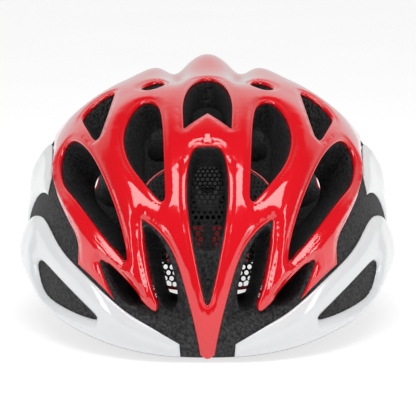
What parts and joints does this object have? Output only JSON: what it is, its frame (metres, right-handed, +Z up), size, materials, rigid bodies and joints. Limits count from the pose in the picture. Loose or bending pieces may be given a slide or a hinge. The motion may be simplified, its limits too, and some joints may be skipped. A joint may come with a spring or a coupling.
{
  "type": "cycling helmet",
  "caption": "Vented road cycling helmet with a dial-adjusted rear cradle, inner pads, insect net and chin straps with a side-release buckle.",
  "frame": {"origin": "on the plane that the helmet stands on, under the middle of its width and length", "axes": "+Z up, the wearer faces -Y, +X to the wearer's left"},
  "size_m": [0.2214, 0.2812, 0.1464],
  "materials": {
    "foam": "moulded expanded foam, fine bead texture",
    "red_shell": "glossy",
    "white_shell": "glossy",
    "pad_fabric": "brushed knit over foam",
    "nape_fabric": "brushed knit over foam",
    "net_mesh": "perforated mesh",
    "webbing": "woven",
    "cradle_plastic": "satin",
    "dial_plastic": "satin",
    "dial_accent": "glossy",
    "screw_steel": "brushed",
    "buckle_plastic": "satin"
  },
  "bodies": {
    "helmet": {"foam_liner": "foam", "top_shell": "red_shell", "brow_pad": "pad_fabric", "insect_net": "net_mesh", "height_track": "cradle_plastic", "buckle_socket": "buckle_plastic", "lower_band_right": "white_shell", "lower_band_left": "white_shell", "rear_band_right": "white_shell", "rear_band_left": "white_shell", "crown_pad_right": "pad_fabric", "crown_pad_left": "pad_fabric", "side_pad_right": "pad_fabric", "side_pad_left": "pad_fabric", "temple_plug_right": "cradle_plastic", "temple_plug_left": "cradle_plastic", "temple_cap_right": "cradle_plastic", "temple_cap_left": "cradle_plastic", "strap_anchor_front_right": "buckle_plastic", "strap_anchor_front_left": "buckle_plastic", "strap_anchor_rear_right": "buckle_plastic", "strap_anchor_rear_left": "buckle_plastic", "strap_front_right": "webbing", "strap_front_left": "webbing", "strap_rear_right": "webbing", "strap_rear_left": "webbing", "divider_body_right": "buckle_plastic", "divider_body_left": "buckle_plastic", "chin_strap_right": "webbing", "chin_strap_left": "webbing"},
    "cradle": {"dial_housing": "cradle_plastic", "housing_cover": "cradle_plastic", "housing_screws": "screw_steel", "height_strap": "cradle_plastic", "cradle_arm_right": "cradle_plastic", "cradle_arm_left": "cradle_plastic", "nape_pad_right": "nape_fabric", "nape_pad_left": "nape_fabric"},
    "dial": {"dial_knob": "dial_plastic", "dial_cap": "dial_accent", "dial_pinion": "dial_plastic"},
    "band_left": {"toothed_band_left": "cradle_plastic"},
    "band_right": {"toothed_band_right": "cradle_plastic"},
    "lever_left": {"divider_lever_left": "buckle_plastic"},
    "lever_right": {"divider_lever_right": "buckle_plastic"},
    "plug": {"buckle_plug": "buckle_plastic"}
  },
  "joints": [
    {"name": "cradle_tilt", "type": "hinge", "parent": "helmet", "child": "cradle", "pos_m": [0, -0.046, 0.052], "axis": [1, 0, 0], "range_deg": [-8, 3]},
    {"name": "dial_turn", "type": "hinge", "parent": "cradle", "child": "dial", "pos_m": [0, 0.105, 0.024], "axis": [0, 1, 0], "range_deg": [0, 140]},
    {"name": "band_left_slide", "type": "hinge", "parent": "cradle", "child": "band_left", "pos_m": [0, 0.026, 0.024], "axis": [0, 0, 1], "range_deg": [-11, 0]},
    {"name": "band_right_slide", "type": "hinge", "parent": "cradle", "child": "band_right", "pos_m": [0, 0.026, 0.024], "axis": [0, 0, 1], "range_deg": [0, 11]},
    {"name": "lever_left_open", "type": "hinge", "parent": "helmet", "child": "lever_left", "pos_m": [-0.047, 0.002, 0.0056], "axis": [0, 1, 0], "range_deg": [0, 90]},
    {"name": "lever_right_open", "type": "hinge", "parent": "helmet", "child": "lever_right", "pos_m": [0.047, 0.002, 0.0056], "axis": [0, 1, 0], "range_deg": [-90, 0]},
    {"name": "buckle_release", "type": "slide", "parent": "helmet", "child": "plug", "axis": [-1, 0, 0], "range_m": [0, 0.022], "deforming": ["chin_strap_left"]}
  ],
  "couplings": [
    {"joint": "band_left_slide", "follows": "dial_turn", "ratio": -0.07163},
    {"joint": "band_right_slide", "follows": "dial_turn", "ratio": 0.07003}
  ]
}
